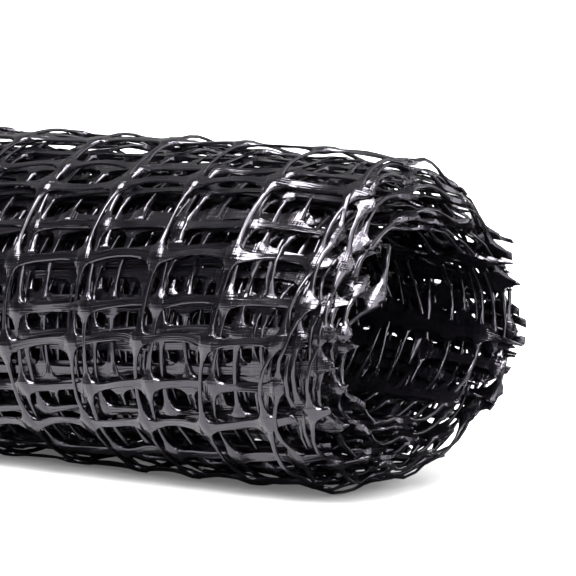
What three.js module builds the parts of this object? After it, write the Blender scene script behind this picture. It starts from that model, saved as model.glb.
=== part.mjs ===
// Roll of mole netting: one length of stretched plastic net wound into a loose, hollow roll that lies on its side.
// Millimetres. X runs along the roll, Z is up, and the roll stands on a small flat spot at Z = 0.
import * as THREE from "three";

// Driving dimensions: the net. Its outermost turn is cut into meshes, a quarter larger than the real ones.
const NET_WIDTH = 500; // selvedge to selvedge, along the roll
const COARSE = 1.25; // pitch of the cut meshes over the real pitch
const ROUND_PITCH = 15 * COARSE; // between the strands that run round the roll
const LONG_PITCH = 17 * COARSE; // between the strands that run along the roll
const ROUND_STRAND = 2.2; // width of a strand that runs round the roll
const LONG_STRAND = 3; // width of a strand that runs along the roll
const ROUND_STRANDS = 27; // how many strands run round the roll
const MESHES_ROUND = 9; // how many meshes the outermost turn has round the roll
const MESHES_PAST_FLOOR = 2; // how many of them lie between the floor and the free end outside
const OUTER_TAIL = 6; // what the cut leaves of the round strands past the last long one
const SHEET = 1; // thickness of the solid net

// Driving dimensions: the winding, seen from the +X end with Y to the right
const TURNS = 2.87;
const OUTER_RADIUS = 30.5; // to the middle of the sheet
const HOLE_ACROSS = 24; // half the hole's width, to the middle of the sheet
const HOLE_UP = 18; // half the hole's height, to the middle of the sheet
const HOLE_SIDEWAYS = 0.6; // the hole lies this far to the +Y side
const HOLE_DROP = 1.5; // and this far below the middle
const TURN_STEP = 2.2; // the outermost turn lies this far over the one below it
const FLAT_SPOT = 7; // half the width of the flat spot under the roll
const FLATTENING = 1.4; // how far its own weight presses the underside in
const INNER_STEP = 7.5; // length of a facet round the inner turns, which have no meshes
const INNER_SKIP = 6; // their facets reach over this many strand edges along the roll

// Driving dimensions: how uneven it is along its length
const END_TUCK = 0.07; // the cut ends draw in by this share of the radius
const END_REACH = 24; // over this length
const SWELLS = [
  { share: 0.008, wavelength: 310, phase: 0.6 },
  { share: 0.005, wavelength: 118, phase: 2.1 },
];

// The winding's middle line, from the free end in the hole (t = 0) to the free end outside (t = 1). Every turn keeps
// clear of the next where the wall is thin, and most of the slack lies in the inner turns, where the wall is thick.
class WoundPath extends THREE.Curve {
  constructor(outerAngle) {
    super();
    this.outerAngle = outerAngle;
    this.arcLengthDivisions = 3000;
  }

  getPoint(t, target = new THREE.Vector3()) {
    const angle = this.outerAngle - 2 * Math.PI * TURNS * (1 - t);
    const [cos, sin] = [Math.cos(angle), Math.sin(angle)];
    const outside = new THREE.Vector3(0, OUTER_RADIUS * cos, OUTER_RADIUS * sin);
    target.set(0, HOLE_SIDEWAYS + HOLE_ACROSS * cos, -HOLE_DROP + HOLE_UP * sin);
    const wall = target.distanceTo(outside);
    const slack = Math.max(1, Math.log(wall / TURN_STEP) / Math.log(TURNS));
    return target.lerp(outside, 1 - (1 - t) ** slack);
  }
}

// How much the section grows or shrinks at a place along the roll.
function sectionScale(x) {
  const swell = SWELLS.reduce(
    (sum, s) => sum + s.share * Math.sin((2 * Math.PI * x) / s.wavelength + s.phase),
    0,
  );
  const fromEnd = Math.max(0, 1 - (NET_WIDTH / 2 - Math.abs(x)) / END_REACH);
  return 1 + swell - END_TUCK * fromEnd ** 2;
}

// Edges of the strands that run round the roll, from one selvedge to the other.
function edgesAlong() {
  const edges = [-NET_WIDTH / 2];
  for (let i = 0; i < ROUND_STRANDS; i++) {
    const centre = (i - (ROUND_STRANDS - 1) / 2) * ROUND_PITCH;
    edges.push(centre - ROUND_STRAND / 2, centre + ROUND_STRAND / 2);
  }
  edges.push(NET_WIDTH / 2);
  return edges;
}

// Lines across the outermost turn, and whether the band after each one is a strand that runs along the roll. The meshes
// on both sides of the strand that lies on the floor have one more line each, at the edge of the flat spot.
function linesAround(length) {
  const lines = [];
  const underneath = length - OUTER_TAIL - LONG_STRAND / 2 - MESHES_PAST_FLOOR * LONG_PITCH;
  for (let k = MESHES_PAST_FLOOR - MESHES_ROUND; k <= MESHES_PAST_FLOOR; k++) {
    const centre = underneath + k * LONG_PITCH;
    lines.push({ at: centre - LONG_STRAND / 2, strand: true });
    lines.push({ at: centre + LONG_STRAND / 2, strand: false });
    if (k === 0) lines.push({ at: centre + FLAT_SPOT, strand: false });
    if (k < MESHES_PAST_FLOOR) lines.push({ at: centre + LONG_PITCH / 2, strand: false });
    if (k === -1) lines.push({ at: underneath - FLAT_SPOT, strand: false });
  }
  lines.push({ at: length, strand: false });
  return lines;
}

function woundNet() {
  const pastFloor = MESHES_PAST_FLOOR * LONG_PITCH + LONG_STRAND / 2 + OUTER_TAIL;
  const path = new WoundPath(-Math.PI / 2 + pastFloor / OUTER_RADIUS);
  const length = path.getLength();
  const restHeight = OUTER_RADIUS + SHEET / 2 - FLATTENING;
  const axis = new THREE.Vector3(1, 0, 0);
  const positions = [];
  const triangles = [];

  // A corner of the sheet on its outer or inner face. The flat spot is where the roll would reach below the floor.
  function corner(x, v, outer) {
    const u = THREE.MathUtils.clamp(v / length, 0, 1);
    const outwards = path.getTangentAt(u).cross(axis);
    const p = path.getPointAt(u).multiplyScalar(sectionScale(x));
    p.addScaledVector(outwards, outer ? SHEET / 2 : -SHEET / 2);
    positions.push(x, p.y, Math.max(p.z + restHeight, outer ? 0 : SHEET));
    return positions.length / 3 - 1;
  }

  const cornersAcross = (edges, v) =>
    edges.map((x) => ({ x, outer: corner(x, v, true), inner: corner(x, v, false) }));

  function skin(a, b, c) {
    triangles.push(a.outer, c.outer, b.outer, a.inner, b.inner, c.inner);
  }

  function rim(a, b) {
    triangles.push(a.outer, b.inner, a.inner, a.outer, b.outer, b.inner);
  }

  // A whole strip of sheet between two lines of corners, which may be spaced differently.
  function strip(near, far) {
    let i = 0;
    let j = 0;
    while (i + 1 < near.length || j + 1 < far.length) {
      const nearNext = i + 1 < near.length ? near[i + 1].x : Infinity;
      const farNext = j + 1 < far.length ? far[j + 1].x : Infinity;
      if (nearNext < farNext) skin(near[i], near[++i], far[j]);
      else skin(near[i], far[j + 1], far[j++]);
    }
    rim(far[0], near[0]);
    rim(near.at(-1), far.at(-1));
  }

  // The inner turns, from the free end in the hole to the first long strand of the outermost turn
  const edges = edgesAlong();
  const lines = linesAround(length);
  const strandEdges = edges.slice(1, -1);
  const plainEdges = strandEdges.filter((x, i) => i % INNER_SKIP === 0 || x === strandEdges.at(-1));
  const steps = Math.round(lines[0].at / INNER_STEP);
  const plain = Array.from({ length: steps }, (_, i) =>
    cornersAcross(plainEdges, (i * lines[0].at) / steps),
  );
  plain.slice(1).forEach((line, i) => strip(plain[i], line));
  plain[0].slice(1).forEach((c, i) => rim(plain[0][i], c));

  // The outermost turn, with its meshes
  const net = lines.map((line) => cornersAcross(edges, line.at));
  strip(plain.at(-1), net[0].slice(1, -1));
  const rows = edges.length - 1;
  const columns = lines.length - 1;
  const roundStrand = (i) => i % 2 === 1;
  function solid(i, j) {
    if (j < 0) return i > 0 && i < rows - 1;
    return i >= 0 && i < rows && j < columns && (roundStrand(i) || lines[j].strand);
  }
  for (let j = 0; j < columns; j++)
    for (let i = 0; i < rows; i++) {
      if (!solid(i, j)) continue;
      const [a, b, c, d] = [net[j][i], net[j][i + 1], net[j + 1][i + 1], net[j + 1][i]];
      skin(a, b, c);
      skin(a, c, d);
      if (!solid(i, j - 1)) rim(a, b);
      if (!solid(i + 1, j)) rim(b, c);
      if (!solid(i, j + 1)) rim(c, d);
      if (!solid(i - 1, j)) rim(d, a);
    }

  const geometry = new THREE.BufferGeometry();
  geometry.setAttribute("position", new THREE.Float32BufferAttribute(positions, 3));
  geometry.setIndex(triangles);
  return geometry;
}

const blackPolypropylene = new THREE.MeshStandardMaterial({
  color: 0x161518,
  roughness: 0.32,
  metalness: 0,
});

const net = new THREE.Mesh(woundNet(), blackPolypropylene);
net.name = "net_roll";
net.geometry.computeBoundingBox();
net.position.y = -net.geometry.boundingBox.getCenter(new THREE.Vector3()).y;

const roll = new THREE.Group();
roll.add(net);

export default roll;
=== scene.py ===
# %% [markdown]
# # A roll of mole netting
# The real thing is one length of black plastic net, extruded, stretched both ways and wound on itself
# into a loose, hollow roll. This lesson makes one crossing of the net, repeats it into a flat sheet,
# winds the sheet along a path and gives it its finish. Everything is in metres, in the frame that the
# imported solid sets.

# %% Load the frame
import math
from itertools import accumulate

import bmesh
import bpy
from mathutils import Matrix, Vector


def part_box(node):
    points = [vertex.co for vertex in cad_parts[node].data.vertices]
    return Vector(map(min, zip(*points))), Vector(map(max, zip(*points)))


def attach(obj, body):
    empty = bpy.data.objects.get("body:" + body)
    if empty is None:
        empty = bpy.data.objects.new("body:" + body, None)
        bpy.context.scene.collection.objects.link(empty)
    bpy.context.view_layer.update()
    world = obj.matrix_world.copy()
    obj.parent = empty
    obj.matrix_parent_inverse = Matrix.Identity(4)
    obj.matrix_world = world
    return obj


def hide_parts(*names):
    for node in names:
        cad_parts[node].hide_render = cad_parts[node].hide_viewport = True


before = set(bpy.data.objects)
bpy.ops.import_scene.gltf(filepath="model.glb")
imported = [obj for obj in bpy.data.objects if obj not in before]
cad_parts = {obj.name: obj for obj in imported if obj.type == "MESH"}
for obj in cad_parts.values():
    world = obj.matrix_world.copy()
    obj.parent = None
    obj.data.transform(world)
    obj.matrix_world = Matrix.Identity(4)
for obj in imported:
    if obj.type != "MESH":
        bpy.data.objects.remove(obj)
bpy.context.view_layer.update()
MM = 0.001

# %% [markdown]
# ## Camera
# The photograph is taken with a long lens from a little above the floor, in front of the roll and
# towards its near end. A long lens at some distance keeps the part of the roll that runs out of the
# picture almost as tall as its near end, as in the photograph.

# %% Camera
ROLL_LOW, ROLL_HIGH = (Vector(corner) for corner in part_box("net_roll"))
RIM_DEPTH = 3 * MM  # of the near end's middle inside the roll's box
NEAR_END = Vector((ROLL_HIGH.x - RIM_DEPTH, 0, ROLL_HIGH.z / 2))
VIEW_AZIMUTH, VIEW_ELEVATION = math.radians(35.5), math.radians(7.0)
VIEW_DISTANCE, FARTHEST_SEEN = 0.66, 50
FRAME_PIXELS = 576
PIXELS_PER_METRE = 5980  # at the near end of the roll
NEAR_END_PIXEL = (425, 322)  # where the near end's middle lies in the picture
SENSOR_WIDTH = 36

towards_camera = Vector((
    math.sin(VIEW_AZIMUTH) * math.cos(VIEW_ELEVATION),
    -math.cos(VIEW_AZIMUTH) * math.cos(VIEW_ELEVATION),
    math.sin(VIEW_ELEVATION),
))
turn_to_view = towards_camera.to_track_quat("Z", "Y")
picture_right, picture_up = turn_to_view @ Vector((1, 0, 0)), turn_to_view @ Vector((0, 1, 0))
picture_middle = (
    NEAR_END
    + picture_right * (FRAME_PIXELS / 2 - NEAR_END_PIXEL[0]) / PIXELS_PER_METRE
    + picture_up * (NEAR_END_PIXEL[1] - FRAME_PIXELS / 2) / PIXELS_PER_METRE
)
camera_data = bpy.data.cameras.new("camera")
camera_data.sensor_width = SENSOR_WIDTH
camera_data.lens = SENSOR_WIDTH * VIEW_DISTANCE * PIXELS_PER_METRE / FRAME_PIXELS
camera_data.clip_end = FARTHEST_SEEN
camera = bpy.data.objects.new("camera", camera_data)
camera.location = picture_middle + towards_camera * VIEW_DISTANCE
camera.rotation_euler = turn_to_view.to_euler()
bpy.context.scene.collection.objects.link(camera)
bpy.context.scene.camera = camera
print("lens", round(camera_data.lens, 1), "mm")

# %% [markdown]
# ## One crossing of the net
# Stretching thins the strands and leaves a thick lump where they cross. The openings between them are
# rectangles with round corners, so a strand is narrowest halfway between two crossings. Crossed rods
# could be joined into that shape, but a superellipse gives such an opening with one formula and few
# faces. The crossing is made with half of each of its four strands, so that copies of it meet halfway.

# %% Sizes of the net
NET_WIDTH = ROLL_HIGH.x - ROLL_LOW.x
ROUND_PITCH = 15 * MM  # between the strands that run round the roll
LONG_PITCH = 15.7 * MM  # between those that run along it, before they are fitted to the winding
LUMP_INNER, LUMP_OUTER = 0.4 * MM, 3.8 * MM  # from a crossing, between which its lump thins out
EDGE_ROUNDING = 0.2 * MM
MOST_ROUNDING = 0.5  # of the way from a strand's edge to its middle
EDGE_HEIGHT = 0.35  # of half a strand's thickness, where its rounded edge begins
# For each strand its width halfway between two crossings and half its thickness; half the thickness of
# the lump; for an opening the exponents of its superellipse, along and round the roll, and the points
# on half a side of it
OUTER_STRANDS = {
    "round": (0.7 * MM, 0.28 * MM), "long": (1.5 * MM, 0.22 * MM), "lump": 0.56 * MM,
    "opening": (6, 5), "side": [0, 0.34, 0.64, 0.83],
}
INNER_STRANDS = {
    "round": (0.48 * MM, 0.27 * MM), "long": (1.5 * MM, 0.2 * MM), "lump": 0.42 * MM,
    "opening": (6.5, 6), "side": [0, 0.45, 0.78],
}


# %% The crossing's mesh
def lump(thin, thick, distance):
    """Half the thickness of a strand at a distance from its crossing."""
    share = min(max((LUMP_OUTER - distance) / (LUMP_OUTER - LUMP_INNER), 0), 1)
    return thin + (thick - thin) * share * share * (3 - 2 * share)


def crossing_mesh(name, strands, long_pitch, rounded_edges):
    """One crossing, flat on XY: X along the roll, Y round it, Z out of the sheet."""
    (round_wide, round_thick), (long_wide, long_thick) = strands["round"], strands["long"]
    side, thick, (n, m) = strands["side"], strands["lump"], strands["opening"]
    half_x, half_y = ROUND_PITCH / 2, long_pitch / 2
    open_x, open_y = half_x - round_wide / 2, half_y - long_wide / 2
    rim = [((1 - f**m) ** (1 / n), f) for f in side] + [(2 ** (-1 / n), 2 ** (-1 / m))]
    rim += [(f, (1 - f**n) ** (1 / m)) for f in reversed(side)]
    middle = len(side)
    points, weights, faces, rims = [], [], [], {}
    for sx, sy in ((1, 1), (-1, 1), (-1, -1), (1, -1)):
        rows = []
        for i, (fx, fy) in enumerate(rim):
            x, y = half_x - open_x * fx, half_y - open_y * fy
            if i < middle:
                spine, weight, high = (0, y), 0, lump(round_thick, thick, y)
            elif i == middle:
                spine, weight, high = (0, 0), 0.5, thick
            else:
                spine, weight, high = (x, 0), 1, lump(long_thick, thick, x)
            profile = [(x, y, high), (x, y, -high)]
            if rounded_edges:
                to_spine = math.hypot(spine[0] - x, spine[1] - y)
                inwards = min(EDGE_ROUNDING / to_spine, MOST_ROUNDING)
                bx, by = x + (spine[0] - x) * inwards, y + (spine[1] - y) * inwards
                edge = high * EDGE_HEIGHT
                profile = [(bx, by, high), (x, y, edge), (x, y, -edge), (bx, by, -high)]
            rows.append(range(len(points), len(points) + len(profile)))
            points += [(sx * px, sy * py, pz) for px, py, pz in profile]
            weights += [weight] * len(profile)
        for near, far in zip(rows, rows[1:]):
            for j in range(len(near) - 1):
                face = (near[j], far[j], far[j + 1], near[j + 1])
                faces.append(face if sx * sy > 0 else face[::-1])
        rims[sx, sy] = rows
    round_steps, long_steps = range(middle), range(middle, 2 * middle)
    strips = [
        (rims[-1, 1], rims[1, 1], round_steps), (rims[1, -1], rims[-1, -1], round_steps),
        (rims[1, -1], rims[1, 1], long_steps), (rims[-1, 1], rims[-1, -1], long_steps),
    ]
    covers = [[a[i], a[i + 1], b[i + 1], b[i]] for a, b, steps in strips for i in steps]
    covers.append([rims[corner][middle] for corner in ((-1, -1), (1, -1), (1, 1), (-1, 1))])
    faces += [[row[0] for row in cover] for cover in covers]
    faces += [[row[-1] for row in reversed(cover)] for cover in covers]
    mesh = bpy.data.meshes.new(name)
    mesh.from_pydata(points, [], faces)
    mesh.attributes.new("long_strand", "FLOAT", "POINT").data.foreach_set("value", weights)
    return mesh


# %% [markdown]
# ## The winding
# Seen from the near end the roll is round outside, but its hole is wider than high: the wall is thin at
# the sides and thick above and below the hole, where the turns lie slack. An even spiral would leave a
# round hole, so each point of the path is worked out between the outline of the hole and the outside.
# The path follows the middle of the sheet from the free end in the hole to the free end outside. It
# becomes a plain poly curve, so that the sheet can be laid along it by length.

# %% Sizes of the winding
TURNS = 17.6625
OUTER_RADIUS = 30 * MM
HOLE_ACROSS, HOLE_UP = 24.3 * MM, 16.2 * MM  # half its width and half its height
HOLE_SIDEWAYS, HOLE_RISE = -1.6 * MM, 0.3 * MM
TURN_STEP = 0.8 * MM  # from the outermost turn to the next
OUTER_ANGLE = math.radians(-6.5)  # of the outer free end, at the back
HALF_THICK = OUTER_STRANDS["lump"]
FLATTENING = 1.7 * MM  # of the underside
FLOOR_STEP = 0.65 * MM  # height of one turn over the next on the flat spot
FLOOR_SOFTNESS = 0.35 * MM
FAR_ABOVE = 30  # softnesses above the floor, where it no longer lifts the net
FLAP_TURN, FLAP_HANG = 0.16, 3.0 * MM  # of the inner free end, which hangs into the hole
PATH_POINTS = 6000


# %% The path
def path_point(t):
    """A point of the winding, in Y and Z, with the roll's middle at the origin."""
    angle = OUTER_ANGLE - 2 * math.pi * TURNS * (1 - t)
    outside = Vector((0, math.cos(angle), math.sin(angle))) * OUTER_RADIUS
    hole_y = HOLE_SIDEWAYS + HOLE_ACROSS * math.cos(angle)
    hole = Vector((0, hole_y, HOLE_UP * math.sin(angle) + HOLE_RISE))
    slack = math.log((outside - hole).length / TURN_STEP) / math.log(TURNS)
    flap = math.sin(math.pi * min(TURNS * t / FLAP_TURN, 1)) * FLAP_HANG
    return hole.lerp(outside, 1 - (1 - t) ** slack) - outside.normalized() * flap


def rest_on_floor(point, t):
    """Lift the point where its turn would sink below the turns that lie under it on the flat spot."""
    floor = HALF_THICK + FLOOR_STEP * TURNS * (1 - t)
    height = (point.z - floor) / FLOOR_SOFTNESS
    lifted = math.log1p(math.exp(height)) if height < FAR_ABOVE else height
    return Vector((0, point.y, floor + FLOOR_SOFTNESS * lifted))


middle_height = OUTER_RADIUS + HALF_THICK - FLATTENING
shares = [i / (PATH_POINTS - 1) for i in range(PATH_POINTS)]
path = [rest_on_floor(path_point(t) + Vector((0, 0, middle_height)), t) for t in shares]
sideways = -(min(p.y for p in path) + max(p.y for p in path)) / 2
for point in path:
    point.y += sideways
run = [0, *accumulate((b - a).length for a, b in zip(path, path[1:]))]
net_length = run[-1]
print("path", len(path), "points")

# %% Rows to a turn
# Counted from outside. On the front the long strands of the turns lie in two groups, and the gaps
# between the groups stay open. At the back the outermost turn keeps even rows, and each turn inside it
# has its long strands where most looks into the hole still pass between those of the turns outside it,
# so the hole is dark. Only those of the innermost turns lie together there, so that the strands that
# run round the hole show between them.
FRONT_FROM, FRONT_TO, BACK_FROM, BACK_TO = 225, 150, 80, -65  # degrees round the roll
FRONT_ROW, FRONT_SHIFT, FRONT_SPREAD = 0.55, 0.48, 0.09  # in rows; every second turn is shifted
SPREAD_STEP = 2.4  # radians from turn to turn, of the wave that spreads the front rows
FRONT_ROW_ANGLE, FRONT_MARKS = 30, 6  # degrees from row to row, and the steps that keep to it
BACK_TURNS = 15  # from outside, which close the hole
LOOK_FALL = math.radians(8.6)  # of a look into the hole, across the roll
LOOK_STEP, LOOK_SPOTS = 0.1 * MM, 140  # from look to look, and the steps along a turn's back
STOPPED, FEW_LOOKS = 0.7 * MM, 6  # how near to a strand a look is stopped; how few may stay open
TRIES = 24  # of places for the rows of a turn


def path_index(turns_in):
    """The path's point some turns in from the outer end."""
    return round((1 - turns_in / TURNS) * (PATH_POINTS - 1))


def reach(turns_in):
    """Length of net from the outer end to a place some turns in."""
    return net_length - run[path_index(turns_in)]


def looks(first, last):
    """The length of net at which each look into the hole meets the back of a turn, by its number."""
    step = (last - first) / LOOK_SPOTS
    spots = [first + step * i for i in range(LOOK_SPOTS + 1)]
    points = [path[path_index(spot)] for spot in spots]
    across, up = math.sin(LOOK_FALL), math.cos(LOOK_FALL)
    heights = [(p.y * across + p.z * up) / LOOK_STEP for p in points]
    met = {}
    for spot, upper, lower in zip(spots, heights, heights[1:]):
        for look in range(math.ceil(lower), math.ceil(upper)):
            met[look] = reach(spot + step * (upper - look) / (upper - lower))
    return met


def stopped(met, rows, length):
    """The looks that a turn's long strands stop, with the row and the length where its back begins."""
    places = {look: rows + (at - length) / LONG_PITCH for look, at in met.items()}
    return {look for look, place in places.items() if abs(place % 1 - 0.5) * LONG_PITCH < STOPPED}


# %% Place the rows, turn by turn
marks = [(0, 0)]
open_looks, closed_looks = set(), set()
for turn in range(int(TURNS)):
    first = turn + (math.degrees(OUTER_ANGLE) - FRONT_FROM) / 360 % 1
    span = (FRONT_FROM - FRONT_TO) / 360
    rows, length = marks[-1]
    rows += (reach(first) - length) / LONG_PITCH
    row = FRONT_ROW + FRONT_SHIFT * (turn % 2) + FRONT_SPREAD * math.sin(SPREAD_STEP * turn)
    front_rows = (FRONT_FROM - FRONT_TO) / FRONT_ROW_ANGLE
    rows += (row - rows - front_rows / 2 + 0.5) % 1 - 0.5
    steps = [i / FRONT_MARKS for i in range(FRONT_MARKS + 1)]
    marks += [(rows + front_rows * step, reach(first + span * step)) for step in steps]

    first = turn + (math.degrees(OUTER_ANGLE) - BACK_FROM) / 360 % 1
    last = first + (BACK_FROM - BACK_TO) / 360
    if last > TURNS:
        continue
    rows, length = marks[-1]
    rows += (reach(first) - length) / LONG_PITCH
    met = looks(first, last)
    if turn < BACK_TURNS and len(open_looks) < FEW_LOOKS:
        open_looks = set(met)
    wanted = open_looks if turn < BACK_TURNS else closed_looks
    tries = [rows + i / TRIES - 0.5 for i in range(TRIES)] if turn else [rows]
    rows = max(tries, key=lambda start: len(stopped(met, start, reach(first)) & wanted))
    closed_looks = stopped(met, rows, reach(first))
    open_looks -= closed_looks
    print("turn", turn, "leaves", len(open_looks), "looks open")
    back_rows = (reach(last) - reach(first)) / LONG_PITCH
    marks += [(rows, reach(first)), (rows + back_rows, reach(last))]
rows, length = marks[-1]
ROWS = round(rows + (net_length - length) / LONG_PITCH)
marks.append((ROWS, net_length))
long_pitch = net_length / ROWS
stretch_points = [(1 - rows / ROWS, 1 - length / net_length) for rows, length in reversed(marks)]
spacings = [(b[1] - a[1]) / (b[0] - a[0]) / MM for a, b in zip(marks, marks[1:])]
print("rows", ROWS, "spaced", round(min(spacings), 1), "to", round(max(spacings), 1), "mm")


# %% The path as a curve
# A second, straight curve is the ruler of the rows: a place on the even net lies along it, and its
# points' radius is the length along the path there.
def poly_curve(name, points, radii):
    """A curve of straight pieces through points, each with its radius."""
    data = bpy.data.curves.new(name, "CURVE")
    data.dimensions = "3D"
    spline = data.splines.new("POLY")
    spline.points.add(len(points) - 1)
    spline.points.foreach_set("co", [c for p in points for c in (*p, 1)])
    spline.points.foreach_set("radius", radii)
    made = bpy.data.objects.new(name, data)
    bpy.context.scene.collection.objects.link(made)
    return made


winding_path = poly_curve("winding_path", path, [1] * PATH_POINTS)
even_places = [(even * net_length, 0, 0) for even, wound in stretch_points]
wound_lengths = [wound * net_length for even, wound in stretch_points]
row_ruler = poly_curve("row_ruler", even_places, wound_lengths)
print("net", round(NET_WIDTH, 3), "by", round(net_length, 3), "m")
print("mean pitch of its rows", round(long_pitch / MM, 2), "mm")

# %% [markdown]
# ## Black polypropylene
# The net is extruded from black polypropylene and then stretched. The stretched plastic is glossy and
# has fine lines along each strand, which catch the light as thin bright threads. It is black all
# through. The lines could be painted on an image, but noise that is drawn out along the strands makes
# as many as the net needs. It reads the flat net's UV map, so the lines follow each strand. The base
# colour is a shade darker in the grooves between the lines: painted shade in the grooves.

# %% A node helper and colours
MATH, VECTOR, RANGE = "ShaderNodeMath", "ShaderNodeVectorMath", "ShaderNodeMapRange"
CURVE = "ShaderNodeFloatCurve"
SMOOTH = {"interpolation_type": "SMOOTHSTEP"}


def add(tree, kind, inputs=(), out=0, points=(), **settings):
    """Add one node, feed its inputs in order or by key with values or sockets, return an output. The
    points are those of a curve that is given point by point."""
    node = tree.nodes.new(kind)
    for name, value in settings.items():
        setattr(node, name, value)
    if points:
        line = node.mapping.curves[0]
        line.points[0].location, line.points[-1].location = points[0], points[-1]
        for place in points[1:-1]:
            line.points.new(*place)
        node.mapping.update()
    fed = inputs.items() if isinstance(inputs, dict) else enumerate(inputs)
    for key, value in fed:
        if isinstance(value, bpy.types.NodeSocket):
            tree.links.new(value, node.inputs[key])
        else:
            node.inputs[key].default_value = value
    return node.outputs[out]


def linear(hex_colour):
    """An sRGB hex colour as linear RGBA."""
    parts = [int(hex_colour[i : i + 2], 16) / 255 for i in (1, 3, 5)]
    return (*[c / 12.92 if c <= 0.04045 else ((c + 0.055) / 1.055) ** 2.4 for c in parts], 1)


# %% The net's finish
PLASTIC_IOR = 1.5
LINE_SPACING = 0.36 * MM  # between the lines along a strand, drawn coarse enough to show
LINE_LENGTH = 9 * MM
LINE_DEPTH = 0.03 * MM
LINE_EDGES = (0.4, 0.6)  # of the noise, between which a line rises
PATCH_SIZE, PATCH_EDGES = 6 * MM, (0.3, 0.7)  # of the glossier and duller patches
ROUGHNESS = (0.1, 0.24)


def stretched_black_polypropylene():
    """Glossy black plastic with lines along its strands."""
    material = bpy.data.materials.new("stretched_black_polypropylene")
    material.use_nodes = True
    tree = material.node_tree
    shader = tree.nodes["Principled BSDF"]
    shader.inputs["IOR"].default_value = PLASTIC_IOR
    shader.inputs["Specular Tint"].default_value = linear("#f6f0ff")
    flat = add(tree, "ShaderNodeUVMap", uv_map="flat_net")
    strand = add(tree, "ShaderNodeAttribute", attribute_name="long_strand", out="Fac")
    lines = []
    for scale in ((1 / LINE_LENGTH, 1 / LINE_SPACING, 1), (1 / LINE_SPACING, 1 / LINE_LENGTH, 1)):
        place = add(tree, VECTOR, [flat, scale], operation="MULTIPLY")
        lines.append(add(tree, "ShaderNodeTexNoise", {"Vector": place, "Scale": 1, "Detail": 1}))
    lines = add(tree, "ShaderNodeMix", {0: strand, 2: lines[1], 3: lines[0]})
    lines = add(tree, RANGE, [lines, *LINE_EDGES], **SMOOTH)
    bump = add(tree, "ShaderNodeBump", {"Height": lines, "Distance": LINE_DEPTH, "Strength": 1})
    tree.links.new(bump, shader.inputs["Normal"])
    # Painted shade: the base colour is a shade darker in the grooves between the lines than on their
    # ridges.
    colours = {0: lines, 6: linear("#030304"), 7: linear("#070608")}
    colour = add(tree, "ShaderNodeMix", colours, out=2, data_type="RGBA")
    tree.links.new(colour, shader.inputs["Base Color"])
    patches = add(tree, "ShaderNodeTexNoise", {"Vector": flat, "Scale": 1 / PATCH_SIZE, "Detail": 2})
    gloss = add(tree, RANGE, [patches, *PATCH_EDGES, *ROUGHNESS])
    tree.links.new(gloss, shader.inputs["Roughness"])
    return material


net_finish = stretched_black_polypropylene()
print("finish", net_finish.name)

# %% [markdown]
# ## Winding the net
# Geometry Nodes lay the crossing out on a grid, join the copies and wind the sheet along the path. Array
# and Curve modifiers could do that much. Here each point keeps its flat place in a UV map, and the cut
# ends, the slip of the turns past each other, the bow of the strands and the slack are all worked out
# from that place, in one tree with named sizes. Nothing in it keeps the strands of one turn clear of the
# next: the turns lie closer together than the crossings are thick, and strands pass through each other
# where a real net would nest.

# %% Small parts of the tree
SEED_STEPS = (1, 1.7, 2.3)  # how a seed moves the noise along each axis
NOISE_EDGES = (0.25, 0.75)  # between which most of the noise lies
# Each kind of unevenness: the size of its features and the seed that sets where they fall
UNEVEN = {
    "slip": (110 * MM, 4.1), "telescope": (70 * MM, 1.3), "ragged_cut": (14 * MM, 2.2),
    "stub": (14 * MM, 6.6), "bow": (30 * MM, 2.9), "bulge": (19 * MM, 8.8),
    "long_twist": (21 * MM, 6.1), "round_twist": (23 * MM, 3.7), "hang": (17 * MM, 4.4),
    "shared_slack": (80 * MM, 3.3), "own_slack": (24 * MM, 5.9),
    "wander_along": (42 * MM, 7.7), "wander_around": (42 * MM, 9.2),
}


def uneven(tree, place, kind):
    """One kind of unevenness at a place, from -1 to 1."""
    size, seed = UNEVEN[kind]
    moved = add(tree, VECTOR, [place, [seed * step for step in SEED_STEPS]], operation="ADD")
    value = add(tree, "ShaderNodeTexNoise", {"Vector": moved, "Scale": 1 / size, "Detail": 1})
    return add(tree, RANGE, [value, *NOISE_EDGES, -1, 1])


def product(tree, *values):
    """Multiply two or more values."""
    result = values[0]
    for value in values[1:]:
        result = add(tree, MATH, [result, value], operation="MULTIPLY")
    return result


def total(tree, *values):
    """Add two or more values."""
    result = values[0]
    for value in values[1:]:
        result = add(tree, MATH, [result, value], operation="ADD")
    return result


# %% A place on the flat sheet
INNER_UNREST = 0.3  # of the outer turns', for the inner turns' bow and wander
UNREST_TURNS = (TURNS - 5, TURNS - 2.5)  # over which it grows


def path_length(tree, given, v):
    """The length along the path of a place on the flat net, with each turn stretched to its rows."""
    ruler = add(tree, "GeometryNodeObjectInfo", {"Object": given["Ruler"]}, out="Geometry")
    radius = add(tree, "GeometryNodeInputRadius")
    sampled = {"Curves": ruler, "Value": radius, "Length": v}
    return add(tree, "GeometryNodeSampleCurve", sampled, mode="LENGTH")


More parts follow.
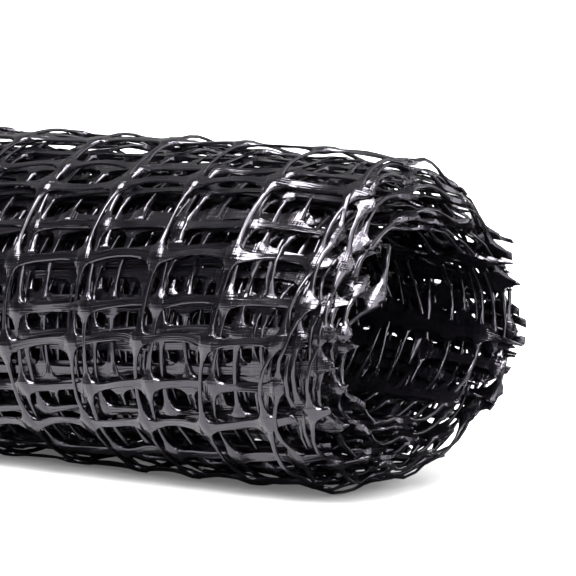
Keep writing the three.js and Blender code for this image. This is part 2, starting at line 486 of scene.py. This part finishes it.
def flat_place(tree, given, rows_on=0):
    """Where a point, or the place some rows on from it, lies on the flat net, and its angle round the
    roll: 0 at the back, a quarter on top."""
    position = add(tree, "GeometryNodeInputPosition")
    parts = add(tree, "ShaderNodeSeparateXYZ", [position]).node.outputs
    x, v, w = parts["X"], parts["Y"], parts["Z"]
    if rows_on:
        v = add(tree, MATH, [given["Long Pitch"], rows_on, v], operation="MULTIPLY_ADD")
    path = add(tree, "GeometryNodeObjectInfo", {"Object": given["Path"]}, out="Geometry")
    index = add(tree, "GeometryNodeInputIndex")
    sampled = {"Curves": path, "Value": index, "Length": path_length(tree, given, v)}
    sample = add(tree, "GeometryNodeSampleCurve", sampled, mode="LENGTH").node
    spot = add(tree, "ShaderNodeSeparateXYZ", [sample.outputs["Position"]]).node.outputs
    height = add(tree, MATH, [spot["Z"], middle_height], operation="SUBTRACT")
    angle = add(tree, MATH, [height, spot["Y"]], operation="ARCTAN2")
    angle = add(tree, MATH, [angle, 2 * math.pi], operation="DIVIDE")
    turn = product(tree, sample.outputs[0], TURNS / (PATH_POINTS - 1))
    return {
        "angle": add(tree, MATH, [angle], operation="FRACT"),
        "position": position, "x": x, "v": v, "w": w,
        "share": add(tree, MATH, [v, given["Net Length"]], operation="DIVIDE"),
        "turn": turn,
        "unrest": add(tree, RANGE, [turn, *UNREST_TURNS, INNER_UNREST, 1], **SMOOTH),
        "sheet": add(tree, "ShaderNodeCombineXYZ", {"X": x, "Y": v}),
        "along_net": add(tree, "ShaderNodeCombineXYZ", {"Y": v}),
    }


# %% Turns that slip and a cut that is uneven
INNER_DRIFT, OUTER_DRIFT = 94.8 * MM, 1.2 * MM  # along the roll, so that inner strands cover the gaps
OUTER_STEADY = TURNS - 2.65  # turn up to which the net drifts
OUTER_CREEP, CREEP_TO = 3 * MM, TURNS - 0.3  # of the turns just inside the outermost one
SKEW_TURNS = (OUTER_STEADY - 1, TURNS - 1)  # over which the skew grows
SKEW_ALONG = (188 * MM, 258 * MM)  # along the roll, over which it grows
CUT_MARGIN, LEAST_STUB = 0.5 * MM, 0.8 * MM
CUT = NET_WIDTH / 2 - CUT_MARGIN
INNER_STANDS_OUT = 2.5 * MM  # of the inner turns' ends past the outer ones'
STANDS_OUT_SHARE = 0.5  # of the net's length, over which that dies away
FRONT_RECESS = 1.2 * MM  # of the outer turns' ends on the front
RECESS_SHARES = (0.35, 0.75)  # of the net's length, over which it grows
END_TILT = 6.4 * MM  # of the end on the front and under the roll; it stands out most at the back


def drifted(tree, given, flat, x):
    """The place along the roll after the turns have slipped and the outer ones have skewed."""
    helix = add(tree, RANGE, [flat["turn"], 0, OUTER_STEADY, INNER_DRIFT, OUTER_DRIFT])
    creep = add(tree, RANGE, [flat["turn"], OUTER_STEADY, CREEP_TO, OUTER_CREEP, 0])
    slip = product(tree, uneven(tree, flat["along_net"], "slip"), given["Slip"])
    outer = add(tree, RANGE, [flat["turn"], *SKEW_TURNS, 0, 1], **SMOOTH)
    near = add(tree, RANGE, [x, *SKEW_ALONG])
    low_front = add(tree, CURVE, {"Value": flat["angle"]}, points=[
        (0, 0), (0.3, 0), (0.42, 0.05), (0.52, 0.45), (0.62, 1), (0.72, 0.9), (0.9, 0.1), (1, 0)])
    skew = product(tree, outer, near, low_front, given["Skew"])
    return total(tree, x, helix, creep, slip, skew)


def front_part(tree, flat):
    """One on the front of the roll and nothing at the back."""
    return add(tree, CURVE, {"Value": flat["angle"]}, points=[
        (0, 0), (0.27, 0), (0.38, 0.8), (0.5, 1), (0.58, 0.8), (0.68, 0), (1, 0)])


def cut_place(tree, given, flat):
    """How far from the roll's middle a row is cut."""
    telescoped = product(tree, uneven(tree, flat["along_net"], "telescope"), given["Telescope"])
    ragged = product(tree, uneven(tree, flat["along_net"], "ragged_cut"), given["Ragged Cut"])
    stands_out = [flat["share"], 0, STANDS_OUT_SHARE, CUT + INNER_STANDS_OUT, CUT]
    stands_out = add(tree, RANGE, stands_out, **SMOOTH)
    outer = add(tree, RANGE, [flat["share"], *RECESS_SHARES, 0, 1], **SMOOTH)
    recess = product(tree, outer, front_part(tree, flat), -FRONT_RECESS)
    short = add(tree, CURVE, {"Value": flat["angle"]}, points=[
        (0, 0), (0.1, 0), (0.25, 0.15), (0.4, 0.33), (0.5, 0.3), (0.56, 0.38), (0.62, 0.65),
        (0.68, 0.6), (0.75, 0.4), (0.84, 0.85), (0.9, 0.75), (0.95, 0.3), (1, 0)])
    return total(tree, telescoped, ragged, stands_out, recess, product(tree, short, -END_TILT))


def past_cut(tree, ring, cut):
    """One for a crossing that falls past the cut."""
    from_middle = add(tree, MATH, [ring], operation="ABSOLUTE")
    limit = add(tree, MATH, [cut, LEAST_STUB], operation="SUBTRACT")
    return add(tree, MATH, [from_middle, limit], operation="GREATER_THAN")


# %% The flat sheet
COLUMNS = 49  # strands round the roll, with those that the drift of the inner turns brings in


def laid_out(tree, given, flat, drift, cut):
    """Crossings on a grid, without those past the cut. Each keeps its own place, whether it is the last
    before the cut, and whether the crossings of the rows before and after it are past theirs."""
    gaps = add(tree, MATH, [given["Rows"], 1], operation="SUBTRACT")
    length = product(tree, gaps, given["Long Pitch"])
    grid = add(tree, "GeometryNodeMeshGrid", {
        "Size X": (COLUMNS - 1) * ROUND_PITCH, "Size Y": length,
        "Vertices X": COLUMNS, "Vertices Y": given["Rows"],
    })
    half = add(tree, MATH, [length, 0.5, given["First Row"]], operation="MULTIPLY_ADD")
    start = add(tree, "ShaderNodeCombineXYZ", {"Y": half})
    points = add(tree, "GeometryNodeTransform", {"Geometry": grid, "Translation": start})
    side = add(tree, MATH, [drift], operation="SIGN")
    next_ring = add(tree, MATH, [side, ROUND_PITCH, flat["x"]], operation="MULTIPLY_ADD")
    next_ring = drifted(tree, given, flat, next_ring)
    last_side = product(tree, side, past_cut(tree, next_ring, cut))
    crossing = add(tree, "ShaderNodeCombineXYZ", [flat["x"], flat["v"], last_side])
    before, after = (
        past_cut(tree, drifted(tree, given, row, row["x"]), cut_place(tree, given, row))
        for row in (flat_place(tree, given, -1), flat_place(tree, given, 1)))
    loose = add(tree, "ShaderNodeCombineXYZ", {"X": before, "Y": after})
    for name, value in (("crossing", crossing), ("loose", loose)):
        kept = {"Geometry": points, "Name": name, "Value": value}
        points = add(tree, "GeometryNodeStoreNamedAttribute", kept, data_type="FLOAT_VECTOR")
    past = past_cut(tree, drift, cut)
    points = add(tree, "GeometryNodeDeleteGeometry", {"Geometry": points, "Selection": past})
    copied = {"Points": points, "Instance": given["Geometry"]}
    copies = add(tree, "GeometryNodeInstanceOnPoints", copied)
    sheet = add(tree, "GeometryNodeRealizeInstances", {"Geometry": copies})
    kept = {"Geometry": sheet, "Name": "flat_net", "Value": flat["position"]}
    return add(tree, "GeometryNodeStoreNamedAttribute", kept, data_type="FLOAT2", domain="CORNER")


def own_place(tree, given, flat):
    """Where a point lies on its own crossing, and how far it is from one crossing to the next."""
    kept = {}
    for name in ("crossing", "loose"):
        vector = add(tree, "GeometryNodeInputNamedAttribute", {"Name": name}, data_type="FLOAT_VECTOR")
        kept[name] = add(tree, "ShaderNodeSeparateXYZ", [vector]).node.outputs
    x = add(tree, MATH, [flat["x"], kept["crossing"]["X"]], operation="SUBTRACT")
    v = add(tree, MATH, [flat["v"], kept["crossing"]["Y"]], operation="SUBTRACT")
    cell_x = add(tree, MATH, [x, ROUND_PITCH], operation="DIVIDE")
    cell_v = add(tree, MATH, [v, given["Long Pitch"]], operation="DIVIDE")
    beyond = add(tree, MATH, [v, 0], operation="GREATER_THAN")
    before, after = kept["loose"]["X"], kept["loose"]["Y"]
    return {
        "loose": add(tree, "ShaderNodeMix", {0: beyond, 2: before, 3: after}),
        "last_side": kept["crossing"]["Z"], "x": x, "v": v,
        "cell_x": add(tree, MATH, [cell_x], operation="FRACT"),
        "cell_v": add(tree, MATH, [cell_v], operation="FRACT"),
        "long": add(tree, "GeometryNodeInputNamedAttribute", {"Name": "long_strand"}),
    }


# %% The cut ends
STUB_ROOT = 3.0 * MM  # of a stub that keeps its shape when the stub is drawn out or cut short
ROOT_SHARE = 0.75  # of a short stub that keeps its shape
MOST_STUB, STUB_SPREAD = 8.5 * MM, 2.2 * MM
RING_EDGE_STUB = 2.6 * MM  # where the last ring makes the end's edge
POINTED = 0.8  # of a stub's width that is lost at its tip on the inner turns; outer ones are cut square
POINT_FROM = 0.5 * MM  # past the last ring
SQUARE_SHARES = (0.7, 0.85)  # of the net's length, over which stubs grow square
LOOSE_ROOT, CUT_BACK = 1.8 * MM, 0.9  # what a round strand with no next crossing keeps and loses


def cut_to_width(tree, flat, drift, cut, own):
    """Draw out or shorten the strands past the last crossing of each row to end at the cut."""
    past_ring = product(tree, own["x"], own["last_side"])
    from_middle = add(tree, MATH, [drift], operation="ABSOLUTE")
    ring = add(tree, MATH, [from_middle, past_ring], operation="SUBTRACT")
    stub = add(tree, MATH, [cut, ring], operation="SUBTRACT")
    ring_edge = add(tree, CURVE, {"Value": flat["angle"]}, points=[
        (0, 0), (0.07, 0), (0.16, 0.9), (0.5, 1), (0.58, 0.8), (0.64, 0), (0.69, 0), (0.76, 0.9),
        (0.88, 0.9), (0.95, 0), (1, 0)])
    most = product(tree, ring_edge, RING_EDGE_STUB - MOST_STUB)
    spread = product(tree, uneven(tree, flat["along_net"], "stub"), STUB_SPREAD)
    most = total(tree, most, spread, MOST_STUB)
    stub = add(tree, MATH, [stub, most], operation="MINIMUM")
    stub = add(tree, MATH, [stub, LEAST_STUB], operation="MAXIMUM")
    root = add(tree, MATH, [product(tree, stub, ROOT_SHARE), STUB_ROOT], operation="MINIMUM")
    rest = add(tree, MATH, [stub, root], operation="SUBTRACT")
    drawn = add(tree, RANGE, [past_ring, root, ROUND_PITCH / 2, 0, rest])
    whole = add(tree, MATH, [past_ring, root], operation="MINIMUM")
    longer = add(tree, MATH, [total(tree, whole, drawn), past_ring], operation="SUBTRACT")
    return total(tree, drift, product(tree, longer, own["last_side"]))


def pointed(tree, flat, own):
    """How far a stub's edges draw together towards its tip."""
    past_ring = product(tree, own["x"], own["last_side"])
    narrowed = add(tree, RANGE, [past_ring, POINT_FROM, ROUND_PITCH / 2, 0, POINTED])
    inner = add(tree, RANGE, [flat["share"], *SQUARE_SHARES, 1, 0], **SMOOTH)
    return product(tree, narrowed, own["v"], inner)


def cut_back(tree, own):
    """How far a round strand is cut back where the next row's crossing is past the cut."""
    length = add(tree, MATH, [own["v"]], operation="ABSOLUTE")
    rest = add(tree, MATH, [length, LOOSE_ROOT], operation="SUBTRACT")
    rest = add(tree, MATH, [rest, 0], operation="MAXIMUM")
    side = add(tree, MATH, [own["v"]], operation="SIGN")
    return product(tree, rest, side, own["loose"], CUT_BACK)


# %% Strands that bow, climb and turn
LEAST_BOW = -0.15  # of the most; the other way
# Along the roll, where the climb of the rows begins, where it is nothing and where it ends
TWIST_FROM, TWIST_MIDDLE, TWIST_TO = 80 * MM, 190 * MM, 262 * MM
INNER_STRAIGHT, OUTER_STRAIGHT = (0.05, 0.5), (TURNS - 0.35, TURNS - 0.05)  # turns by the free ends
END_TURN = 0.5  # slope of the long strands that turn their faces up near the cut ends
END_TURN_ALONG = (CUT - 28 * MM, CUT - 8 * MM)  # along the roll, over which it grows
END_TURN_SHARES = (0.75, 0.85)  # of the net's length, over which it grows


def bowed(tree, given, flat, own):
    """How far round the roll the long strands bow, upwards on its front."""
    shape = add(tree, CURVE, {"Value": own["cell_x"]}, points=[
        (0, 0), (0.12, 0.02), (0.4, 0.72), (0.66, 1), (0.86, 0.5), (0.96, 0.04), (1, 0)])
    size = add(tree, RANGE, [uneven(tree, flat["sheet"], "bow"), -1, 1, LEAST_BOW, 1], **SMOOTH)
    return product(tree, shape, size, flat["unrest"], given["Bow"])


def row_twist(tree, given, flat, along):
    """How far the rows climb towards the near end; the free ends of the net stay straight."""
    climb = (TWIST_FROM - TWIST_MIDDLE, TWIST_TO - TWIST_MIDDLE)
    climb = add(tree, RANGE, [along, TWIST_FROM, TWIST_TO, *climb])
    inner_end = add(tree, RANGE, [flat["turn"], *INNER_STRAIGHT, 0, 1], **SMOOTH)
    outer_end = add(tree, RANGE, [flat["turn"], *OUTER_STRAIGHT, 1, 0], **SMOOTH)
    return product(tree, climb, inner_end, outer_end, given["Row Twist"])


def end_turn(tree, flat):
    """How far the outer turns' long strands turn up on the front near the cut ends."""
    from_middle = add(tree, MATH, [flat["x"]], operation="ABSOLUTE")
    near_end = add(tree, RANGE, [from_middle, *END_TURN_ALONG, 0, 1], **SMOOTH)
    outer = add(tree, RANGE, [flat["share"], *END_TURN_SHARES, 0, 1], **SMOOTH)
    on_front = add(tree, CURVE, {"Value": flat["angle"]}, points=[
        (0, 0), (0.37, 0), (0.42, 0.6), (0.47, 0.85), (0.52, 1), (0.56, 0.4), (0.6, 0), (1, 0)])
    return product(tree, near_end, outer, on_front, END_TURN)


# %% Strands that bulge, twist and hang
HANG_SHARES = (0.2, 0.5)  # of the net's length, over which the hang into the hole dies away


def strand_lift(tree, given, flat, own):
    """How far a strand bulges and twists out of the sheet, or hangs into the hole, between crossings."""
    middle_x, middle_v = (
        add(tree, CURVE, {"Value": own[cell]}, points=[(0, 0), (0.1, 0.05), (0.5, 1), (0.9, 0.05), (1, 0)])
        for cell in ("cell_x", "cell_v"))
    is_round = add(tree, MATH, [1, own["long"]], operation="SUBTRACT")
    is_held = add(tree, MATH, [1, own["loose"]], operation="SUBTRACT")
    is_round = product(tree, is_round, is_held)
    long_part = product(tree, own["long"], middle_x)
    round_part = product(tree, is_round, middle_v)
    bulge = uneven(tree, flat["sheet"], "bulge")
    bulge = product(tree, bulge, given["Bulge"], total(tree, long_part, round_part))
    turned = product(tree, uneven(tree, flat["sheet"], "long_twist"), given["Twist"])
    twist_long = product(tree, total(tree, turned, end_turn(tree, flat)), long_part, own["v"])
    twist_round = uneven(tree, flat["sheet"], "round_twist")
    twist_round = product(tree, twist_round, round_part, own["x"], given["Twist"])
    twist = total(tree, twist_long, twist_round)
    slung = add(tree, CURVE, {"Value": own["cell_v"]}, points=[
        (0, 0), (0.05, 0.12), (0.2, 0.75), (0.5, 1), (0.8, 0.75), (0.95, 0.12), (1, 0)])
    hang = add(tree, RANGE, [uneven(tree, flat["sheet"], "hang"), -1, 1, 0, -1], **SMOOTH)
    inner = add(tree, RANGE, [flat["share"], *HANG_SHARES, 1, 0], **SMOOTH)
    hang = product(tree, hang, is_round, slung, inner, given["Hang"])
    at_cut = add(tree, MATH, [own["last_side"]], operation="ABSOLUTE")
    scallop = product(tree, at_cut, round_part, given["Scallop"])
    return total(tree, bulge, twist, hang, scallop)


# %% Slack and drawn-in ends
OFF_FLOOR = (1 * MM, 12 * MM)  # heights over which slack sets in
LOOSE_ALONG, LEAST_LOOSE = (185 * MM, 240 * MM), 0.1  # along the roll, over which its ends grow loose
TUCK_REACH, TUCK_POWER = 22 * MM, 1.8
FLARE = 0.12  # of the tuck, which opens the end again where it is not drawn in
LIP, LIP_REACH, LIP_POWER = 4 * MM, 30 * MM, 1.5  # of all turns, bent into the hole on the upper front


def slack_lift(tree, given, flat, section, place):
    """Slack lifts the sheet off its neighbours, less on the floor; on top the outer turns sink."""
    shared = product(tree, uneven(tree, place, "shared_slack"), given["Shared Slack"])
    own = product(tree, uneven(tree, flat["sheet"], "own_slack"), given["Own Slack"])
    off_floor = add(tree, RANGE, [section["Z"], *OFF_FLOOR, 0, 1], **SMOOTH)
    lift = product(tree, total(tree, shared, own), off_floor)
    settled = add(tree, CURVE, {"Value": flat["share"]}, points=[
        (0, 0), (0.4, 0.6), (0.82, 1), (0.92, 0.62), (1, 0)])
    on_top = add(tree, CURVE, {"Value": flat["angle"]}, points=[
        (0, 0.4), (0.1, 0.9), (0.22, 1), (0.34, 0.6), (0.44, 0), (0.9, 0), (1, 0.4)])
    from_middle = add(tree, MATH, [flat["x"]], operation="ABSOLUTE")
    loose_end = add(tree, RANGE, [from_middle, *LOOSE_ALONG, LEAST_LOOSE, 1], **SMOOTH)
    sunk = product(tree, settled, on_top, loose_end, given["Outer Slack"])
    return add(tree, MATH, [lift, sunk], operation="SUBTRACT")


def end_tuck(tree, given, flat, along):
    """The cut ends draw in, the outer turns most, and far more under the roll than at the back."""
    from_middle = add(tree, MATH, [along], operation="ABSOLUTE")
    near_end, lip_end = (
        add(tree, MATH, [add(tree, RANGE, [from_middle, CUT - far, CUT, 0, 1]), power], operation="POWER")
        for far, power in ((TUCK_REACH, TUCK_POWER), (LIP_REACH, LIP_POWER)))
    by_turn = add(tree, CURVE, {"Value": flat["share"]}, points=[(0, 0), (0.4, 0.3), (0.8, 0.8), (1, 1)])
    by_angle = add(tree, CURVE, {"Value": flat["angle"]}, points=[
        (0, 0.08), (0.1, 0.3), (0.2, 0.55), (0.28, 0.42), (0.36, 0.42), (0.45, 0.48), (0.52, 0.38),
        (0.58, 0.3), (0.66, 0.45), (0.75, 0.8), (0.81, 0.9), (0.86, 0.75), (0.91, 0.45), (0.95, 0.12),
        (1, 0.08)])
    by_angle = total(tree, by_angle, -FLARE)
    tuck = product(tree, near_end, by_turn, by_angle, given["End Tuck"])
    on_front = add(tree, CURVE, {"Value": flat["angle"]}, points=[
        (0, 0), (0.3, 0), (0.37, 0.35), (0.42, 0.95), (0.46, 0.9), (0.5, 0.55), (0.56, 0.3), (0.62, 0),
        (1, 0)])
    return total(tree, tuck, product(tree, lip_end, on_front, LIP))


# %% Sizes for the winding tree
NET_SIZES = {
    "Long Pitch": long_pitch,
    "Net Length": net_length,
    "Slip": 1.2 * MM,
    "Skew": -10.3 * MM,
    "Row Twist": 0.093,
    "Telescope": 1.2 * MM,
    "Ragged Cut": 0.8 * MM,
    "Bow": 0.9 * MM,
    "Bulge": 0.5 * MM,
    "Twist": 0.6,
    "Hang": 1.5 * MM,
    "Scallop": 1.2 * MM,
    "Wander": 1.0 * MM,
    "Shared Slack": 0.9 * MM,
    "Own Slack": 0.45 * MM,
    "Outer Slack": 1.1 * MM,
    "End Tuck": 8.5 * MM,
}

# %% The winding tree
WIND_INPUTS = {"Path": "Object", "Ruler": "Object", "Material": "Material", "Rows": "Int"}
WIND_INPUTS |= dict.fromkeys(["First Row", *NET_SIZES], "Float")
LOWEST = (-1, -1, 0)  # nothing sinks below the floor, and nothing is as far out in X or Y
MERGED = 0.01 * MM  # points that are nearer than this become one
ROUND_BEND, LONG_BEND = math.radians(100), math.radians(30)  # up to which a strand is shaded smooth


def winding_tree():
    """Repeat the crossing into a sheet and wind the sheet along the path."""
    tree = bpy.data.node_groups.new("wind_net", "GeometryNodeTree")
    tree.interface.new_socket("Geometry", in_out="INPUT", socket_type="NodeSocketGeometry")
    for name, kind in WIND_INPUTS.items():
        tree.interface.new_socket(name, in_out="INPUT", socket_type="NodeSocket" + kind)
    tree.interface.new_socket("Geometry", in_out="OUTPUT", socket_type="NodeSocketGeometry")
    given = tree.nodes.new("NodeGroupInput").outputs

    flat = flat_place(tree, given)
    drift = drifted(tree, given, flat, flat["x"])
    cut = cut_place(tree, given, flat)
    sheet = laid_out(tree, given, flat, drift, cut)
    own = own_place(tree, given, flat)
    wander = product(tree, flat["unrest"], given["Wander"])
    along = cut_to_width(tree, flat, drift, cut, own)
    along = total(tree, along, product(tree, uneven(tree, flat["sheet"], "wander_along"), wander))
    around = product(tree, uneven(tree, flat["sheet"], "wander_around"), wander)
    around = total(tree, flat["v"], around)
    for moved in (
        row_twist(tree, given, flat, along), bowed(tree, given, flat, own),
        pointed(tree, flat, own), cut_back(tree, own),
    ):
        around = add(tree, MATH, [around, moved], operation="SUBTRACT")

    path = add(tree, "GeometryNodeObjectInfo", {"Object": given["Path"]}, out="Geometry")
    sampled = {"Curves": path, "Length": path_length(tree, given, around)}
    sample = add(tree, "GeometryNodeSampleCurve", sampled, mode="LENGTH").node.outputs
    outwards = add(tree, VECTOR, [sample["Tangent"], (1, 0, 0)], operation="CROSS_PRODUCT")
    section = add(tree, "ShaderNodeSeparateXYZ", [sample["Position"]]).node.outputs
    place = add(tree, "ShaderNodeCombineXYZ", [along, section["Y"], section["Z"]])

    slack = slack_lift(tree, given, flat, section, place)
    lift = total(tree, flat["w"], strand_lift(tree, given, flat, own), slack)
    tuck = end_tuck(tree, given, flat, along)
    lift = add(tree, MATH, [lift, tuck], operation="SUBTRACT")
    offset = add(tree, VECTOR, {0: outwards, "Scale": lift}, operation="SCALE")
    wound = add(tree, VECTOR, [place, offset], operation="ADD")
    wound = add(tree, VECTOR, [wound, LOWEST], operation="MAXIMUM")

    sheet = add(tree, "GeometryNodeSetPosition", {"Geometry": sheet, "Position": wound})
    sheet = add(tree, "GeometryNodeMergeByDistance", {"Geometry": sheet, "Distance": MERGED})
    sheet = add(tree, "GeometryNodeSetShadeSmooth", {"Geometry": sheet})
    bend = add(tree, "GeometryNodeInputMeshEdgeAngle")
    limit = add(tree, RANGE, [own["long"], 0, 1, ROUND_BEND, LONG_BEND])
    gentle = add(tree, MATH, [bend, limit], operation="LESS_THAN")
    shaded = {"Geometry": sheet, "Shade Smooth": gentle}
    sheet = add(tree, "GeometryNodeSetShadeSmooth", shaded, domain="EDGE")
    for name in ("crossing", "loose"):
        sheet = add(tree, "GeometryNodeRemoveAttribute", {"Geometry": sheet, "Name": name})
    finished = {"Geometry": sheet, "Material": given["Material"]}
    sheet = add(tree, "GeometryNodeSetMaterial", finished)
    result = tree.nodes.new("NodeGroupOutput")
    tree.links.new(sheet, result.inputs["Geometry"])
    return tree


wind_net = winding_tree()
print("tree", wind_net.name, len(wind_net.nodes), "nodes")

# %% The crossings that it winds
fine_crossing = crossing_mesh("fine_crossing", OUTER_STRANDS, long_pitch, True)
plain_crossing = crossing_mesh("plain_crossing", INNER_STRANDS, long_pitch, False)
print("crossings of", len(fine_crossing.polygons), "and", len(plain_crossing.polygons), "faces")

# %% One piece of the net
RIM_SIDES = 12  # most sides of an open rim that is closed


def set_input(modifier, name, value):
    """Set a tree's named input through its socket's identifier."""
    sockets = modifier.node_group.interface.items_tree
    socket = next(s for s in sockets if s.name == name and s.in_out == "INPUT")
    modifier[socket.identifier] = value


def wound_piece(name, crossing, first_row, rows):
    """Some rows of the net, wound, as a plain closed mesh."""
    maker = bpy.data.objects.new(name + "_maker", crossing.copy())
    bpy.context.scene.collection.objects.link(maker)
    modifier = maker.modifiers.new("wind", "NODES")
    modifier.node_group = wind_net
    parts = {"Path": winding_path, "Ruler": row_ruler, "Material": net_finish}
    stretch = {"Rows": rows, "First Row": (first_row + 0.5) * long_pitch}
    for size, value in (parts | stretch | NET_SIZES).items():
        set_input(modifier, size, value)
    made = maker.evaluated_get(bpy.context.evaluated_depsgraph_get())
    mesh = bpy.data.meshes.new_from_object(made)
    mesh.name = name
    bpy.data.objects.remove(maker)
    close = bmesh.new()
    close.from_mesh(mesh)
    rims = [edge for edge in close.edges if edge.is_boundary]
    bmesh.ops.holes_fill(close, edges=rims, sides=RIM_SIDES)
    close.to_mesh(mesh)
    close.free()
    piece = bpy.data.objects.new(name, mesh)
    bpy.context.scene.collection.objects.link(piece)
    return piece


# %% Wind the net, a few turns to a piece
FINE_ROWS = 30  # outermost ones, with rounded strands
FINE_PIECES, PLAIN_PIECES = 2, 4
inner_rows = ROWS - FINE_ROWS
starts = [round(inner_rows * i / PLAIN_PIECES) for i in range(PLAIN_PIECES)]
starts += [inner_rows + FINE_ROWS * i // FINE_PIECES for i in range(FINE_PIECES + 1)]
net_pieces = []
for number, (first, last) in enumerate(zip(starts, starts[1:]), start=1):
    crossing = plain_crossing if first < inner_rows else fine_crossing
    piece = wound_piece(f"net_turns_{number}", crossing, first, last - first)
    net_pieces.append(piece)
    triangles = sum(len(p.vertices) - 2 for p in piece.data.polygons)
    print(piece.name, triangles, "triangles")
bpy.data.objects.remove(winding_path)
bpy.data.objects.remove(row_ruler)


def path_reach(row):
    """Length of net from its inner end to the start of a row."""
    share = row / ROWS
    pairs = zip(stretch_points, stretch_points[1:])
    (a, low), (b, high) = next(pair for pair in pairs if share <= pair[1][0])
    return (low + (high - low) * (share - a) / (b - a)) * net_length


for piece, first, last in zip(net_pieces, starts, starts[1:]):
    length = path_reach(last) - path_reach(first)
    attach(piece, "root")
    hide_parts("net_roll")
    print(piece.name, "is", round(length, 3), "m of the net")

# %% [markdown]
# ## Floor and light
# A white floor, bright enough to burn out to white, under soft studio light: a broad light from
# overhead and in front, weaker ones from the right, from behind and from the far left, and a room light
# that lights the floor but doesn't show in the gloss. Two dark cards show in the gloss alone; the one
# under the roll is a painted shadow there.

# %% Floor
FLOOR_SIZE = 30
bpy.ops.mesh.primitive_plane_add(size=FLOOR_SIZE)
floor = bpy.context.object
floor.name = "floor"
floor_finish = bpy.data.materials.new("white_card")
floor_finish.use_nodes = True
floor_shader = floor_finish.node_tree.nodes["Principled BSDF"]
floor_shader.inputs["Base Color"].default_value = linear("#aaaaaa")
floor_shader.inputs["Roughness"].default_value = 0.7
floor_shader.inputs["Emission Color"].default_value = (1, 1, 1, 1)
floor_shader.inputs["Emission Strength"].default_value = 0.1
floor.data.materials.append(floor_finish)
print("floor", FLOOR_SIZE, "m")

# %% Dark cards
# They lie in front of the roll and under it and show only in the gloss of the net, where they keep the
# front of the roll and its underside dark. The one under the roll is a painted shadow: it puts the
# shade beneath the roll into the gloss of the roll's underside.
CARDS = {"front_card": (-2, -95 * MM), "under_card": (-20 * MM, 60 * MM)}  # where each lies in Y
CARD_REACH, CARD_HEIGHT = 1, 0.5 * MM
card_finish = bpy.data.materials.new("black_card")
card_finish.use_nodes = True
card_shader = card_finish.node_tree.nodes["Principled BSDF"]
card_shader.inputs["Base Color"].default_value = linear("#141416")
card_shader.inputs["Roughness"].default_value = 0.9
for name, (front, back) in CARDS.items():
    corners = [(-CARD_REACH, front), (CARD_REACH, front), (CARD_REACH, back), (-CARD_REACH, back)]
    card_mesh = bpy.data.meshes.new(name)
    card_mesh.from_pydata([(x, y, CARD_HEIGHT) for x, y in corners], [], [range(4)])
    card_mesh.materials.append(card_finish)
    card = bpy.data.objects.new(name, card_mesh)
    bpy.context.scene.collection.objects.link(card)
    card.visible_camera = False
    card.visible_shadow = False
    card.visible_diffuse = False
print("cards", list(CARDS))

# %% Lights
SOFT_LIGHTS = [
    # name, towards the light, angle it fills in degrees, strength, whether it shows in the gloss
    ("overhead_light", (0.07, -0.42, 0.9), 40, 16.5, True),
    ("right_light", (0.8, -0.4, 0.45), 60, 6, True),
    ("back_light", (0.5, 0.5, 0.7), 60, 2, True),
    ("wall_light", (-0.55, 0.5, 0.65), 110, 0.8, True),
    ("room_light", (0, 0, 1), 160, 9, False),
]
for name, towards, angle, strength, glossy in SOFT_LIGHTS:
    light_data = bpy.data.lights.new(name, "SUN")
    light_data.energy = strength
    light_data.angle = math.radians(angle)
    light = bpy.data.objects.new(name, light_data)
    light.visible_glossy = glossy
    light.rotation_euler = Vector(towards).to_track_quat("Z", "Y").to_euler()
    bpy.context.scene.collection.objects.link(light)
print("lights", len(SOFT_LIGHTS))

# %% Room
ROOM_GLOW, ROOM_SEEN = 0.04, 1  # strength as light, and as what is seen behind the floor
world = bpy.data.worlds.new("room")
bpy.context.scene.world = world
world.use_nodes = True
room = world.node_tree.nodes["Background"]
room.inputs["Color"].default_value = (1, 1, 1, 1)
seen = add(world.node_tree, "ShaderNodeLightPath", out="Is Camera Ray")
strength = add(world.node_tree, RANGE, [seen, 0, 1, ROOM_GLOW, ROOM_SEEN])
world.node_tree.links.new(strength, room.inputs["Strength"])
bpy.context.scene.view_settings.view_transform = "Standard"
print("room", world.name)
